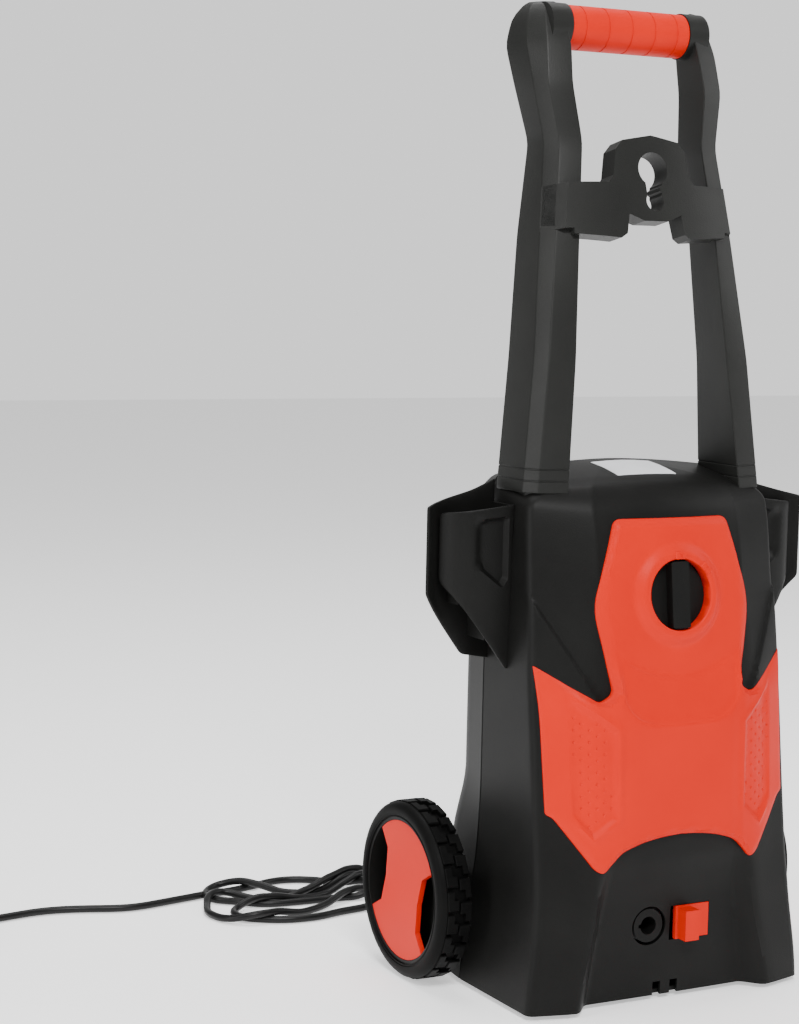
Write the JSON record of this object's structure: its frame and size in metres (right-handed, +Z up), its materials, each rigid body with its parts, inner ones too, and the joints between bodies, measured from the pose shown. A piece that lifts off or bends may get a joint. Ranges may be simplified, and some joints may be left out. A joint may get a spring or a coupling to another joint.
{
  "type": "pressure washer",
  "caption": "Upright electric pressure washer with a push handle, lance bracket, wheels, rotary switch, hose outlet with a sliding latch, and an axial piston pump in a moulded casing.",
  "frame": {"origin": "on the floor under the middle of the machine", "axes": "+Z up, the front with the knob and hose outlet faces -Y, +X to the right of someone who looks at the front"},
  "size_m": [0.8436, 0.508, 0.872],
  "materials": {
    "casing_black": "fine matte texture",
    "handle_grey_black": "fine matte texture",
    "red_plastic": "satin",
    "tyre_black": "satin",
    "label_white": "matt, blank",
    "steel": "ground",
    "can_steel": "zinc plated",
    "lamination_iron": "stacked sheets",
    "copper": "enamelled wire",
    "cast_aluminium": "as cast",
    "brass": "drawn",
    "black_rubber": "matt",
    "tie_black": "satin"
  },
  "bodies": {
    "housing": {"front_shell": "casing_black", "rear_shell": "casing_black", "base_plate": "casing_black", "front_fascia": "red_plastic", "rating_label": "label_white", "left_side_hook": "casing_black", "right_side_hook": "casing_black", "shell_screws": "steel", "left_arm": "handle_grey_black", "right_arm": "handle_grey_black", "cross_bar": "handle_grey_black", "grip_sleeve": "red_plastic", "lance_bracket": "handle_grey_black", "handle_screws": "steel", "axle": "steel", "axle_clips": "steel", "switch_body": "casing_black", "outlet_socket": "casing_black", "outlet_o_ring": "black_rubber", "outlet_pipe": "brass", "inlet_nipple": "casing_black", "inlet_pipe": "brass", "motor_can": "can_steel", "stator_core": "lamination_iron", "field_windings": "copper", "motor_bearings": "steel", "brush_holders": "brass", "gear_case": "cast_aluminium", "spring_1": "steel", "spring_2": "steel", "spring_3": "steel", "cylinder_block": "cast_aluminium", "valve_head": "cast_aluminium", "cable_gland": "black_rubber", "lead_exit": "black_rubber", "lead_hank": "black_rubber", "lead_run": "black_rubber", "lead_coil": "black_rubber", "lead_tail": "black_rubber", "plug_body": "black_rubber", "plug_pins": "brass", "cable_tie": "tie_black"},
    "left_wheel": {"left_rim": "casing_black", "left_tyre": "tyre_black", "left_hub_cover": "red_plastic"},
    "right_wheel": {"right_rim": "casing_black", "right_tyre": "tyre_black", "right_hub_cover": "red_plastic"},
    "switch_knob": {"knob": "casing_black"},
    "latch": {"hose_latch": "red_plastic"},
    "rotor": {"armature_core": "lamination_iron", "armature_windings": "copper", "commutator": "copper", "motor_shaft": "steel", "cooling_fan": "casing_black"},
    "pump_drive": {"drive_gear": "steel", "swash_plate": "steel"},
    "piston_a": {"piston_1": "steel"},
    "piston_b": {"piston_2": "steel"},
    "piston_c": {"piston_3": "steel"}
  },
  "joints": [
    {"name": "left_wheel_spin", "type": "hinge", "parent": "housing", "child": "left_wheel", "pos_m": [-0.173, 0.041, 0.0805], "axis": [1, 0, 0], "continuous": true},
    {"name": "right_wheel_spin", "type": "hinge", "parent": "housing", "child": "right_wheel", "pos_m": [0.173, 0.041, 0.0805], "axis": [1, 0, 0], "continuous": true},
    {"name": "knob_turn", "type": "hinge", "parent": "housing", "child": "switch_knob", "pos_m": [0, -0.114, 0.361], "axis": [0, 0.9934, -0.1149], "range_deg": [0, 50]},
    {"name": "latch_slide", "type": "slide", "parent": "housing", "child": "latch", "axis": [-1, 0, 0], "range_m": [0, 0.005]},
    {"name": "rotor_spin", "type": "hinge", "parent": "housing", "child": "rotor", "pos_m": [0, 0.007, 0.235], "axis": [0, 0, 1], "continuous": true},
    {"name": "gear_spin", "type": "hinge", "parent": "housing", "child": "pump_drive", "pos_m": [0, -0.02675, 0.165], "axis": [0, 0, 1], "continuous": true},
    {"name": "piston_a_slide", "type": "slide", "parent": "housing", "child": "piston_a", "axis": [0, 0, -1], "range_m": [0, 0.006], "stiffness_N_per_m": 1500, "springref_m": -0.001, "deforming": ["spring_1"]},
    {"name": "piston_b_slide", "type": "slide", "parent": "housing", "child": "piston_b", "axis": [0, 0, -1], "range_m": [0, 0.006], "stiffness_N_per_m": 1500, "springref_m": -0.001, "deforming": ["spring_2"]},
    {"name": "piston_c_slide", "type": "slide", "parent": "housing", "child": "piston_c", "axis": [0, 0, -1], "range_m": [0, 0.006], "stiffness_N_per_m": 1500, "springref_m": -0.001, "deforming": ["spring_3"]}
  ],
  "couplings": [
    {"joint": "gear_spin", "follows": "rotor_spin", "ratio": -0.25}
  ]
}
